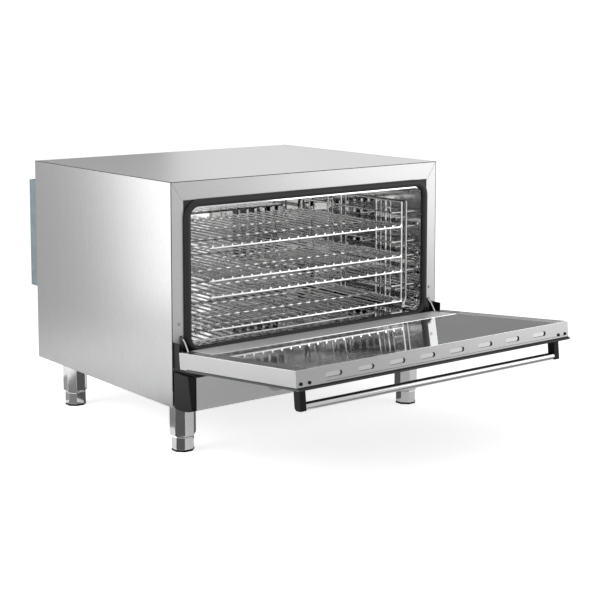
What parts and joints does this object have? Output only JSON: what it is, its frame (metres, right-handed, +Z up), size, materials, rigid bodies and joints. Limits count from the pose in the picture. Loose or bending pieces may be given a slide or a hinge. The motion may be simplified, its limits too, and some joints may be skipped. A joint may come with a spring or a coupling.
{
  "type": "countertop convection oven",
  "caption": "Countertop convection oven in stainless steel with a drop-down double-glass door, wire racks, a full-width bar handle and adjustable legs.",
  "frame": {"origin": "on the floor plane, at the middle of the whole oven's box with the door open", "axes": "+X to the right seen from the front, +Y from the door to the back, +Z up"},
  "size_m": [0.838, 1.2162, 0.658],
  "materials": {
    "steel_case": "fine satin brushed stainless sheet",
    "steel_front": "fine satin brushed stainless sheet",
    "steel_door": "fine satin brushed stainless sheet",
    "steel_polished": "bright polished stainless chamber sheet",
    "galvanised": "dull pale blue-grey galvanised sheet",
    "steel_inner": "plain steel bracket or fitting",
    "chrome_wire": "bright chromed wire",
    "chrome_bar": "bright chromed tube and leg posts",
    "black_moulded": "satin black moulded plastic",
    "seal_rubber": "dark silicone rubber",
    "clear_glass": "clear tempered glass",
    "mineral_wool": "matt fibrous blanket",
    "heater_sheath": "heat-darkened steel sheath",
    "motor_metal": "dull cast metal",
    "white_ceramic": null,
    "indicator_lens": "clear amber lens",
    "foot_metal": "turned bright metal with a black sole"
  },
  "bodies": {
    "oven_body": {"top_panel": "steel_case", "side_panel_left": "steel_case", "side_panel_right": "steel_case", "front_frame": "steel_front", "base_pan": "steel_inner", "back_panel": "galvanised", "rear_cover": "galvanised", "cavity_liner": "steel_polished", "door_gasket": "seal_rubber", "insulation_blanket": "mineral_wool", "fan_baffle": "steel_polished", "fan_motor_left": "motor_metal", "fan_motor_right": "motor_metal", "heating_element_left": "heater_sheath", "heating_element_right": "heater_sheath", "thermostat_probe": "steel_inner", "lamp_holder": "white_ceramic", "lamp_bulb": "clear_glass", "lamp_lens": "clear_glass", "rack_support_left": "chrome_wire", "rack_support_right": "chrome_wire", "hinge_arm_left": "chrome_bar", "hinge_arm_right": "chrome_bar", "hinge_receivers": "steel_inner", "hinge_guards": "black_moulded", "control_panel": "steel_front", "panel_end_cap_left": "black_moulded", "panel_end_cap_right": "black_moulded", "thermostat_body": "steel_inner", "timer_body": "steel_inner", "indicator_lamps": "indicator_lens", "cable_gland": "black_moulded", "legs": "chrome_bar", "leg_nuts": "steel_inner", "case_screws": "steel_inner"},
    "door": {"door_frame": "steel_door", "outer_glass": "clear_glass", "inner_glass": "clear_glass", "glass_seal": "seal_rubber", "handle_bar": "chrome_bar", "handle_bracket_left": "black_moulded", "handle_bracket_right": "black_moulded", "door_hinge_left": "steel_inner", "door_hinge_right": "steel_inner", "hinge_pins": "steel_inner", "door_screws": "steel_inner"},
    "rack_1": {"rack_1": "chrome_wire"},
    "rack_2": {"rack_2": "chrome_wire"},
    "rack_3": {"rack_3": "chrome_wire"},
    "rack_4": {"rack_4": "chrome_wire"},
    "temperature_control": {"temperature_knob": "black_moulded"},
    "timer_control": {"timer_knob": "black_moulded"},
    "fan_rotor_left": {"fan_left": "steel_inner", "fan_shaft_left": "steel_inner"},
    "fan_rotor_right": {"fan_right": "steel_inner", "fan_shaft_right": "steel_inner"},
    "foot_front_left": {"foot_front_left": "foot_metal"},
    "foot_front_right": {"foot_front_right": "foot_metal"},
    "foot_back_left": {"foot_back_left": "foot_metal"},
    "foot_back_right": {"foot_back_right": "foot_metal"}
  },
  "joints": [
    {"name": "door_swing", "type": "hinge", "parent": "oven_body", "child": "door", "pos_m": [0, -0.16689, 0.226], "axis": [1, 0, 0], "range_deg": [-84.5, 0]},
    {"name": "rack_1_slide", "type": "slide", "parent": "oven_body", "child": "rack_1", "axis": [0, -1, 0], "range_m": [0, 0.25]},
    {"name": "rack_2_slide", "type": "slide", "parent": "oven_body", "child": "rack_2", "axis": [0, -1, 0], "range_m": [0, 0.25]},
    {"name": "rack_3_slide", "type": "slide", "parent": "oven_body", "child": "rack_3", "axis": [0, -1, 0], "range_m": [0, 0.25]},
    {"name": "rack_4_slide", "type": "slide", "parent": "oven_body", "child": "rack_4", "axis": [0, -1, 0], "range_m": [0, 0.25]},
    {"name": "temperature_turn", "type": "hinge", "parent": "oven_body", "child": "temperature_control", "pos_m": [-0.173, -0.20289, 0.168], "axis": [0, 1, 0], "range_deg": [0, 270]},
    {"name": "timer_turn", "type": "hinge", "parent": "oven_body", "child": "timer_control", "pos_m": [0.173, -0.20289, 0.168], "axis": [0, 1, 0], "range_deg": [0, 300]},
    {"name": "fan_spin_left", "type": "hinge", "parent": "oven_body", "child": "fan_rotor_left", "pos_m": [-0.185, 0.41812, 0.427], "axis": [0, 1, 0], "continuous": true},
    {"name": "fan_spin_right", "type": "hinge", "parent": "oven_body", "child": "fan_rotor_right", "pos_m": [0.185, 0.41812, 0.427], "axis": [0, 1, 0], "continuous": true},
    {"name": "foot_front_left_screw", "type": "slide", "parent": "oven_body", "child": "foot_front_left", "axis": [0, 0, -1], "range_m": [0, 0.02]},
    {"name": "foot_front_right_screw", "type": "slide", "parent": "oven_body", "child": "foot_front_right", "axis": [0, 0, -1], "range_m": [0, 0.02]},
    {"name": "foot_back_left_screw", "type": "slide", "parent": "oven_body", "child": "foot_back_left", "axis": [0, 0, -1], "range_m": [0, 0.02]},
    {"name": "foot_back_right_screw", "type": "slide", "parent": "oven_body", "child": "foot_back_right", "axis": [0, 0, -1], "range_m": [0, 0.02]}
  ]
}
